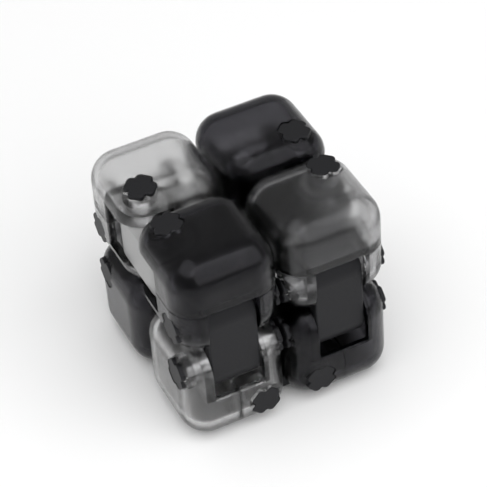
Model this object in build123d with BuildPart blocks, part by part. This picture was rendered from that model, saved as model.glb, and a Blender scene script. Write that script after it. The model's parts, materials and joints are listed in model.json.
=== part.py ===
"""Infinity cube: eight hollow cubes in one closed chain, joined edge to edge by eight two-pin links.

Every cube edge is a quarter round, and each axle lies on the centre line of such a round. Two cubes that
share a link therefore roll about each other with a constant gap, up to 90 degrees at each axle.

Frame: origin in the middle of the footprint, on the surface that the toy rests on. +X is right,
+Y is back and +Z is up. Millimetres.
"""

import os

from build123d import *

os.makedirs("parts", exist_ok=True)

# Cubes
CUBE = 19.0  # side of one cube
GAP = 0.5  # play between neighbouring cubes
EDGE_RADIUS = 5.0  # round of every cube edge, and depth of every axle below its two faces
WALL = 1.5  # shell wall
SEAM_WIDTH = 0.16  # groove that shows where the two shells of a cube meet
SEAM_DEPTH = 0.12
PITCH = CUBE + GAP
HEIGHT = 2 * CUBE + GAP
AXLE_OFFSET = CUBE / 2 - EDGE_RADIUS  # from a cube's centre planes to its axle lines

# Axles and the hubs that grip them
AXLE_RADIUS = 1.6
AXLE_CHAMFER = 0.25
HUB_RADIUS = 2.75

# Links
LINK_WIDTH = 8.9
LINK_RADIUS = 4.0  # round ends, and height of the outer face above the axle line
LINK_PLATE = 2.6  # thickness of the plate that joins the two eyes
LINK_EDGE = 0.35
EYE_PLAY = 0.05  # radial running clearance on the axle
OPEN_END_PLAY = 0.2  # between the open end of one link and the axle under it

# Pockets in the cubes for the ends of the links
POCKET_WIDTH = 9.2
POCKET_RADIUS = 4.25
POCKET_WALL = 1.0
POCKET_REACH = 9.3  # along the hinge face, from the side of the cube that the link leaves by
POCKET_LIP = 0.4  # round of the far edge of a pocket's mouth

# End caps: cross-shaped plugs over both ends of each axle
CAP_DEPTH = 1.4  # floor of the recess below the face
CAP_HEIGHT = 1.3
CAP_SPAN = 5.4  # over two opposite arms
CAP_ARM = 2.9  # width of an arm
CAP_TIP_ROUND = 0.8
CAP_NOTCH_ROUND = 0.35
CAP_EDGE = 0.15
CAP_PLAY = 0.06

RIGHT = Vector(1, 0, 0)
LEFT = Vector(-1, 0, 0)
BACK = Vector(0, 1, 0)
FRONT = Vector(0, -1, 0)
UP = Vector(0, 0, 1)
DOWN = Vector(0, 0, -1)

# Each cube: which corner of the block it fills, then its two hinges. A hinge is named by the face that
# the link lies in, and has the direction of the linked neighbour and the outward direction of that face.
# The second hinge lies wholly in the base shell, and the shells meet square to its neighbour direction.
CUBES = {
    "top_back_left": ((-1, 1, 1), (("left", FRONT, LEFT), ("back", DOWN, BACK))),
    "top_front_left": ((-1, -1, 1), (("left", BACK, LEFT), ("front", DOWN, FRONT))),
    "top_back_right": ((1, 1, 1), (("right", FRONT, RIGHT), ("back", DOWN, BACK))),
    "top_front_right": ((1, -1, 1), (("right", BACK, RIGHT), ("front", DOWN, FRONT))),
    "bottom_back_left": ((-1, 1, -1), (("back", UP, BACK), ("bottom", RIGHT, DOWN))),
    "bottom_front_left": ((-1, -1, -1), (("front", UP, FRONT), ("bottom", RIGHT, DOWN))),
    "bottom_back_right": ((1, 1, -1), (("back", UP, BACK), ("bottom", LEFT, DOWN))),
    "bottom_front_right": ((1, -1, -1), (("front", UP, FRONT), ("bottom", LEFT, DOWN))),
}

# Each link: the cube that it starts from, the direction to the other cube, and the face that it lies in.
LINKS = {
    "left_side_link": ("top_front_left", BACK, LEFT),
    "right_side_link": ("top_front_right", BACK, RIGHT),
    "front_left_link": ("top_front_left", DOWN, FRONT),
    "front_right_link": ("top_front_right", DOWN, FRONT),
    "back_left_link": ("top_back_left", DOWN, BACK),
    "back_right_link": ("top_back_right", DOWN, BACK),
    "bottom_front_link": ("bottom_front_left", RIGHT, DOWN),
    "bottom_back_link": ("bottom_back_left", RIGHT, DOWN),
}
OPEN_LINK = "right_side_link"  # its far end rests over its axle without an eye round it


def centre_of(corner):
    """The centre of the cube that fills one corner of the two by two by two block."""
    return Vector(*corner) * (PITCH / 2) + UP * (HEIGHT / 2)


def hinge_plane(origin, neighbour, face):
    """A plane square to a hinge's axle: local +X towards the neighbour, local +Y out of the face."""
    return Plane(origin=origin, x_dir=neighbour, z_dir=neighbour.cross(face))


def rounded_block(centre, side, radius):
    with BuildPart(Plane(origin=centre)) as block:
        Box(side, side, side)
        fillet(block.edges(), radius)
    return block.part


def round_profile(plane, radius):
    """A disc about the axle line of a cube's hinge."""
    with BuildSketch(plane) as profile:
        with Locations((AXLE_OFFSET, AXLE_OFFSET)):
            Circle(radius)
    return profile.sketch


def pocket_profile(plane, reach, growth=0.0):
    """Room for the end of a link as it turns: round about the axle, square out to both faces."""
    lip = CUBE / 2 - reach - growth
    floor = AXLE_OFFSET - growth
    lip_round = (lip - POCKET_LIP, CUBE / 2 - POCKET_LIP)
    outside = CUBE
    with BuildSketch(plane) as profile:
        with Locations((AXLE_OFFSET, AXLE_OFFSET)):
            Circle(POCKET_RADIUS + growth)
        with Locations((lip, floor)):
            Rectangle(outside - lip, outside - floor, align=(Align.MIN, Align.MIN))
        if not growth:
            with Locations(lip_round):
                Rectangle(POCKET_LIP, outside, align=(Align.MIN, Align.MIN))
                Circle(POCKET_LIP, mode=Mode.SUBTRACT)
    return profile.sketch


def cross_profile(plane, growth=0.0):
    """The cross of an end cap, with its arms on the diagonals of the face."""
    span = CAP_SPAN + 2 * growth
    arm = CAP_ARM + 2 * growth
    middle = (AXLE_OFFSET, AXLE_OFFSET, 0)
    with BuildSketch(plane) as profile:
        with Locations((AXLE_OFFSET, AXLE_OFFSET)):
            Rectangle(span, arm, rotation=45)
            Rectangle(span, arm, rotation=-45)
        fillet(profile.vertices().sort_by_distance(middle)[4:], CAP_TIP_ROUND)
        fillet(profile.vertices().sort_by_distance(middle)[:4], CAP_NOTCH_ROUND)
    return profile.sketch


def seam_profile(plane):
    """The ring between the outline of a cube and the bottom of its seam groove."""
    bottom = CUBE - 2 * SEAM_DEPTH
    with BuildSketch(plane) as profile:
        Rectangle(CUBE + GAP, CUBE + GAP)
        RectangleRounded(bottom, bottom, EDGE_RADIUS - SEAM_DEPTH, mode=Mode.SUBTRACT)
    return profile.sketch


def build_cube(centre, planes, seam):
    """One whole hollow cube, with pockets for two links, before it is parted at its seam."""
    reaches = (POCKET_REACH, CUBE / 2)
    with BuildPart() as cavity:
        add(rounded_block(centre, CUBE - 2 * WALL, EDGE_RADIUS - WALL))
        for plane, reach in zip(planes, reaches):
            extrude(
                pocket_profile(plane, reach, POCKET_WALL),
                amount=POCKET_WIDTH / 2 + POCKET_WALL,
                both=True,
                mode=Mode.SUBTRACT,
            )
            extrude(round_profile(plane, HUB_RADIUS), amount=CUBE, both=True, mode=Mode.SUBTRACT)

    with BuildPart() as cube:
        add(rounded_block(centre, CUBE, EDGE_RADIUS))
        add(cavity.part, mode=Mode.SUBTRACT)
        for plane, reach in zip(planes, reaches):
            room = pocket_profile(plane, reach)
            extrude(room, amount=POCKET_WIDTH / 2, both=True, mode=Mode.SUBTRACT)
            extrude(round_profile(plane, AXLE_RADIUS), amount=CUBE, both=True, mode=Mode.SUBTRACT)
            for end in (-1, 1):
                recess = cross_profile(plane.offset(end * (CUBE / 2 - CAP_DEPTH)), CAP_PLAY)
                extrude(recess, amount=end * EDGE_RADIUS, mode=Mode.SUBTRACT)
        extrude(seam_profile(seam), amount=SEAM_WIDTH / 2, both=True, mode=Mode.SUBTRACT)
    return cube.part


def build_cap(floor, end):
    """One end cap, from the floor of its recess outwards. end is the outward sign along the plane's z."""
    with BuildPart() as cap:
        extrude(cross_profile(floor), amount=end * CAP_HEIGHT)
        top = cap.faces().sort_by(Axis(floor.origin, floor.z_dir * end))[-1]
        chamfer(top.edges(), CAP_EDGE)
    return cap.part


def build_link(plane, open_end):
    """A plate along the hinge face that joins two eyes. The plane's origin is midway between the axles."""
    reach = PITCH / 2 - AXLE_OFFSET
    with BuildPart() as link:
        with BuildSketch(plane):
            with Locations((-reach, 0), (reach, 0)):
                Circle(LINK_RADIUS)
            with Locations((0, LINK_RADIUS - LINK_PLATE / 2)):
                Rectangle(2 * reach, LINK_PLATE)
        extrude(amount=LINK_WIDTH / 2, both=True)
        rims = link.faces().filter_by(Axis(plane.origin, plane.z_dir)).edges()
        fillet(rims, LINK_EDGE)
        with BuildSketch(plane):
            with Locations((-reach, 0), (reach, 0)):
                Circle(AXLE_RADIUS + EYE_PLAY)
        extrude(amount=LINK_WIDTH, both=True, mode=Mode.SUBTRACT)
        if open_end:
            with BuildSketch(plane):
                with Locations((reach - LINK_RADIUS - OPEN_END_PLAY, AXLE_RADIUS + OPEN_END_PLAY)):
                    Rectangle(3 * LINK_RADIUS, 2 * LINK_RADIUS, align=(Align.MIN, Align.MAX))
            extrude(amount=LINK_WIDTH, both=True, mode=Mode.SUBTRACT)
    return link


def write(part, name):
    part.label = name
    export_step(part, f"parts/{name}.step")


for cube_name, (corner, hinges) in CUBES.items():
    centre = centre_of(corner)
    planes = [hinge_plane(centre, neighbour, face) for _, neighbour, face in hinges]
    base_side = hinges[1][1]
    seam = Plane(origin=centre, z_dir=base_side)
    whole = build_cube(centre, planes, seam)

    with BuildPart() as base_shell:
        add(whole)
        split(bisect_by=seam, keep=Keep.TOP)
    write(base_shell.part, f"{cube_name}_base_shell")

    with BuildPart() as lid_shell:
        add(whole)
        split(bisect_by=seam, keep=Keep.BOTTOM)
    write(lid_shell.part, f"{cube_name}_lid_shell")

    for (face_name, _, _), plane in zip(hinges, planes):
        with BuildPart() as axle:
            extrude(round_profile(plane, AXLE_RADIUS), amount=CUBE / 2 - CAP_DEPTH, both=True)
            chamfer(axle.edges().filter_by(GeomType.CIRCLE), AXLE_CHAMFER)
        write(axle.part, f"{cube_name}_axle_{face_name}")

    floors = [(plane.offset(end * (CUBE / 2 - CAP_DEPTH)), end) for plane in planes for end in (-1, 1)]
    caps = [build_cap(floor, end) for floor, end in floors]
    with BuildPart() as end_caps:
        add(caps)
    write(end_caps.part, f"{cube_name}_end_caps")

for link_name, (cube_name, neighbour, face) in LINKS.items():
    start = centre_of(CUBES[cube_name][0])
    middle = start + neighbour * (PITCH / 2) + face * AXLE_OFFSET
    link = build_link(hinge_plane(middle, neighbour, face), link_name == OPEN_LINK)
    write(link.part, link_name)
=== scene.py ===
"""Looks of the infinity cube: translucent smoked shells, steel axles, moulded links and end caps."""

import json
import math

import bpy
from mathutils import Matrix, Vector


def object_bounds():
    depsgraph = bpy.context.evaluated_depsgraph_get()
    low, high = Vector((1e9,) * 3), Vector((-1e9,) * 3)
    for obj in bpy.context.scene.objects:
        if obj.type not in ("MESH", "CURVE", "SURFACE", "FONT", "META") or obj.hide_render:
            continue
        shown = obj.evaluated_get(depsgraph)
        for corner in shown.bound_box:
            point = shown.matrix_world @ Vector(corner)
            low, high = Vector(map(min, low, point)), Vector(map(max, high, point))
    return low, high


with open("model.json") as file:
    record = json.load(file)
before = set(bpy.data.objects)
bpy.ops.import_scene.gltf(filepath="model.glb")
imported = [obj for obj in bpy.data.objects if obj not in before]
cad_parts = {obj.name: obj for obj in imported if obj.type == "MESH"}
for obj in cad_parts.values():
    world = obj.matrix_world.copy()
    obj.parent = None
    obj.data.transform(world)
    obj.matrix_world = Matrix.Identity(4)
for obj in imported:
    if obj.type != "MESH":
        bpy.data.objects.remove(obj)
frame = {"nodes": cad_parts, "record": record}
CAD_LOW, CAD_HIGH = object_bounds()
CENTRE = (CAD_LOW + CAD_HIGH) / 2

# Camera: its direction from the object, its distance in metres, lens and framing
CAMERA_AZIMUTH = math.radians(-22.93)
CAMERA_ELEVATION = math.radians(42.42)
CAMERA_ROLL = math.radians(-4.87)
CAMERA_DISTANCE = 0.3962
CAMERA_LENS_MM = 172.1
CAMERA_SHIFT = (0.0092, 0.0357)
CAMERA_CLIP = (0.01, 20)

# Studio: an even pale surround, a pale floor just under the object and two softboxes.
# Each softbox has its direction from the object, its distance and side in metres and its power in watts.
WORLD_STRENGTH = 0.42
FLOOR_SIZE = 3.0
FLOOR_GAP = 0.0001
FLOOR_GREY = 0.92
FLOOR_ROUGHNESS = 0.9
SOFTBOXES = {
    "front_softbox": {"direction": (0.3, -0.7, 0.7), "distance": 0.9, "size": 1.1, "power": 6.0},
    "top_softbox": {"direction": (-0.3, -0.1, 1.0), "distance": 1.0, "size": 1.1, "power": 5.8},
}

# Surface textures: scales in features per metre, heights in metres, turns in radians, and unevenness as a
# share of the roughness
NOISE_MIDDLE = (0.3, 0.7)
PLASTIC_IOR = 1.49
RIPPLE_SCALE = 260.0
RIPPLE_HEIGHT = 0.000012
RIPPLE_UNEVENNESS = 0.1
SCRATCH_SCALES = (90, 90, 3500)
SCRATCH_TURN = (0.5, 0.9, 0.3)
SCRATCH_UNEVENNESS = 0.06
GRAIN_SCALE = 3500.0
GRAIN_HEIGHT = 0.00001
GRAIN_UNEVENNESS = 0.15
DRAWING_SCALE = 1800.0
DRAWING_HEIGHT = 0.000004
DRAWING_UNEVENNESS = 1 / 3


def camera_axes():
    """Right, up and backward directions of the camera."""
    flat = math.cos(CAMERA_ELEVATION)
    forward = math.cos(CAMERA_AZIMUTH) * flat
    back = Vector((math.sin(CAMERA_AZIMUTH) * flat, -forward, math.sin(CAMERA_ELEVATION)))
    right = Vector((0, 0, 1)).cross(back).normalized()
    turn = Matrix.Rotation(CAMERA_ROLL, 3, back)
    return turn @ right, turn @ back.cross(right), back


def add_camera():
    right, up, back = camera_axes()
    data = bpy.data.cameras.new("camera")
    data.lens = CAMERA_LENS_MM
    data.shift_x, data.shift_y = CAMERA_SHIFT
    data.clip_start, data.clip_end = CAMERA_CLIP
    camera = bpy.data.objects.new("camera", data)
    place = Matrix.Translation(CENTRE + back * CAMERA_DISTANCE)
    camera.matrix_world = place @ Matrix((right, up, back)).transposed().to_4x4()
    bpy.context.scene.collection.objects.link(camera)
    bpy.context.scene.camera = camera


def area_light(name, direction, distance, size, power):
    """A soft square lamp that looks at the object from a direction."""
    data = bpy.data.lights.new(name, "AREA")
    data.size = size
    data.energy = power
    lamp = bpy.data.objects.new(name, data)
    lamp.location = CENTRE + Vector(direction).normalized() * distance
    lamp.rotation_mode = "QUATERNION"
    lamp.rotation_quaternion = (lamp.location - CENTRE).to_track_quat("Z", "Y")
    bpy.context.scene.collection.objects.link(lamp)


def new_material(name):
    material = bpy.data.materials.new(name)
    material.use_nodes = True
    shader = material.node_tree.nodes["Principled BSDF"]
    return material, material.node_tree, shader


def object_place(tree):
    """Coordinates in metres that move with the piece."""
    return tree.nodes.new("ShaderNodeTexCoord").outputs["Object"]


def stretched_place(tree, turn, scales):
    """The piece's own coordinates, scaled differently along each axis and then turned."""
    mapping = tree.nodes.new("ShaderNodeMapping")
    mapping.inputs["Rotation"].default_value = turn
    mapping.inputs["Scale"].default_value = scales
    tree.links.new(object_place(tree), mapping.inputs["Vector"])
    return mapping.outputs["Vector"]


def noise(tree, place, scale, detail, roughness=0.5):
    """Smooth noise between 0 and 1."""
    texture = tree.nodes.new("ShaderNodeTexNoise")
    texture.inputs["Scale"].default_value = scale
    texture.inputs["Detail"].default_value = detail
    texture.inputs["Roughness"].default_value = roughness
    tree.links.new(place, texture.inputs["Vector"])
    return texture.outputs["Fac"]


def spread(tree, source, low, high):
    """The middle of a noise, where nearly all of it lies, spread between two values."""
    scale = tree.nodes.new("ShaderNodeMapRange")
    scale.inputs["From Min"].default_value, scale.inputs["From Max"].default_value = NOISE_MIDDLE
    scale.inputs["To Min"].default_value = low
    scale.inputs["To Max"].default_value = high
    tree.links.new(source, scale.inputs["Value"])
    return scale.outputs["Result"]


def uneven(tree, source, value, share):
    """A value that rises and falls with a noise, by a share of itself."""
    return spread(tree, source, value * (1 - share), value * (1 + share))


def add(tree, first, second):
    total = tree.nodes.new("ShaderNodeMath")
    total.operation = "ADD"
    tree.links.new(first, total.inputs[0])
    tree.links.new(second, total.inputs[1])
    return total.outputs["Value"]


def bump(tree, shader, source, height):
    node = tree.nodes.new("ShaderNodeBump")
    node.inputs["Distance"].default_value = height
    tree.links.new(source, node.inputs["Height"])
    tree.links.new(node.outputs["Normal"], shader.inputs["Normal"])


def smoked_plastic(name, tint, density, roughness, gloss):
    """Translucent plastic: light is lost inside the wall, and the skin has a faint moulding ripple and fine
    handling scratches. gloss tints its reflections."""
    material, tree, shader = new_material(name)
    shader.inputs["Base Color"].default_value = (1, 1, 1, 1)
    shader.inputs["Transmission Weight"].default_value = 1.0
    shader.inputs["Specular Tint"].default_value = (*gloss, 1)
    shader.inputs["IOR"].default_value = PLASTIC_IOR
    ripple = noise(tree, object_place(tree), RIPPLE_SCALE, detail=2.0)
    scratches = noise(tree, stretched_place(tree, SCRATCH_TURN, SCRATCH_SCALES), 1.0, detail=2.0)
    rippled = uneven(tree, ripple, roughness, RIPPLE_UNEVENNESS)
    scratched = spread(tree, scratches, 0.0, roughness * SCRATCH_UNEVENNESS)
    tree.links.new(add(tree, rippled, scratched), shader.inputs["Roughness"])
    bump(tree, shader, ripple, RIPPLE_HEIGHT)
    absorb = tree.nodes.new("ShaderNodeVolumeAbsorption")
    absorb.inputs["Color"].default_value = (*tint, 1)
    absorb.inputs["Density"].default_value = density
    tree.links.new(absorb.outputs["Volume"], tree.nodes["Material Output"].inputs["Volume"])
    return material


def moulded_plastic(name, colour, roughness, gloss):
    """Opaque moulded plastic with a fine spark-eroded grain. gloss tints its reflections."""
    material, tree, shader = new_material(name)
    shader.inputs["Base Color"].default_value = (*colour, 1)
    shader.inputs["Specular Tint"].default_value = (*gloss, 1)
    grain = noise(tree, object_place(tree), GRAIN_SCALE, detail=4.0, roughness=0.6)
    tree.links.new(uneven(tree, grain, roughness, GRAIN_UNEVENNESS), shader.inputs["Roughness"])
    bump(tree, shader, grain, GRAIN_HEIGHT)
    return material


def drawn_steel(name, colour, roughness):
    """Bright drawn rod, a little uneven from the drawing."""
    material, tree, shader = new_material(name)
    shader.inputs["Base Color"].default_value = (*colour, 1)
    shader.inputs["Metallic"].default_value = 1.0
    marks = noise(tree, object_place(tree), DRAWING_SCALE, detail=3.0, roughness=0.6)
    tree.links.new(uneven(tree, marks, roughness, DRAWING_UNEVENNESS), shader.inputs["Roughness"])
    bump(tree, shader, marks, DRAWING_HEIGHT)
    return material


MATERIALS = {
    "clear_smoke_plastic": smoked_plastic(
        "clear_smoke_plastic",
        tint=(0.5, 0.5, 0.505), density=180.0, roughness=0.22, gloss=(1.0, 1.0, 1.0)
    ),
    "grey_smoke_plastic": smoked_plastic(
        "grey_smoke_plastic",
        tint=(0.3, 0.3, 0.31), density=250.0, roughness=0.22, gloss=(0.75, 0.75, 0.77)
    ),
    "black_smoke_plastic": smoked_plastic(
        "black_smoke_plastic",
        tint=(0.2, 0.195, 0.23), density=1100.0, roughness=0.2, gloss=(0.42, 0.415, 0.45)
    ),
    "black_plastic": moulded_plastic(
        "black_plastic",
        colour=(0.01, 0.01, 0.011), roughness=0.5, gloss=(0.35, 0.35, 0.37)
    ),
    "light_grey_plastic": moulded_plastic(
        "light_grey_plastic",
        colour=(0.36, 0.36, 0.36), roughness=0.4, gloss=(0.8, 0.8, 0.8)
    ),
    "steel": drawn_steel("steel", colour=(0.9, 0.9, 0.91), roughness=0.18),
}


def finish_nodes():
    """Gives every CAD node the material of its slot."""
    for part in frame["record"]["subparts"]:
        node = frame["nodes"][part["node"]]
        node.data.materials.clear()
        node.data.materials.append(MATERIALS[part["material_slot"]])


def add_floor():
    material, _, shader = new_material("floor")
    shader.inputs["Base Color"].default_value = (FLOOR_GREY, FLOOR_GREY, FLOOR_GREY, 1)
    shader.inputs["Roughness"].default_value = FLOOR_ROUGHNESS
    half = FLOOR_SIZE / 2
    mesh = bpy.data.meshes.new("floor")
    corners = [(-half, -half, 0), (half, -half, 0), (half, half, 0), (-half, half, 0)]
    mesh.from_pydata(corners, [], [(0, 1, 2, 3)])
    mesh.materials.append(material)
    floor = bpy.data.objects.new("floor", mesh)
    floor.location.z = CAD_LOW.z - FLOOR_GAP
    bpy.context.scene.collection.objects.link(floor)


def light_studio():
    scene = bpy.context.scene
    scene.view_settings.view_transform = "Standard"
    world = bpy.data.worlds.new("studio")
    world.use_nodes = True
    background = world.node_tree.nodes["Background"]
    background.inputs["Color"].default_value = (1, 1, 1, 1)
    background.inputs["Strength"].default_value = WORLD_STRENGTH
    scene.world = world
    for name, softbox in SOFTBOXES.items():
        area_light(name, **softbox)


add_camera()
light_studio()
add_floor()
finish_nodes()
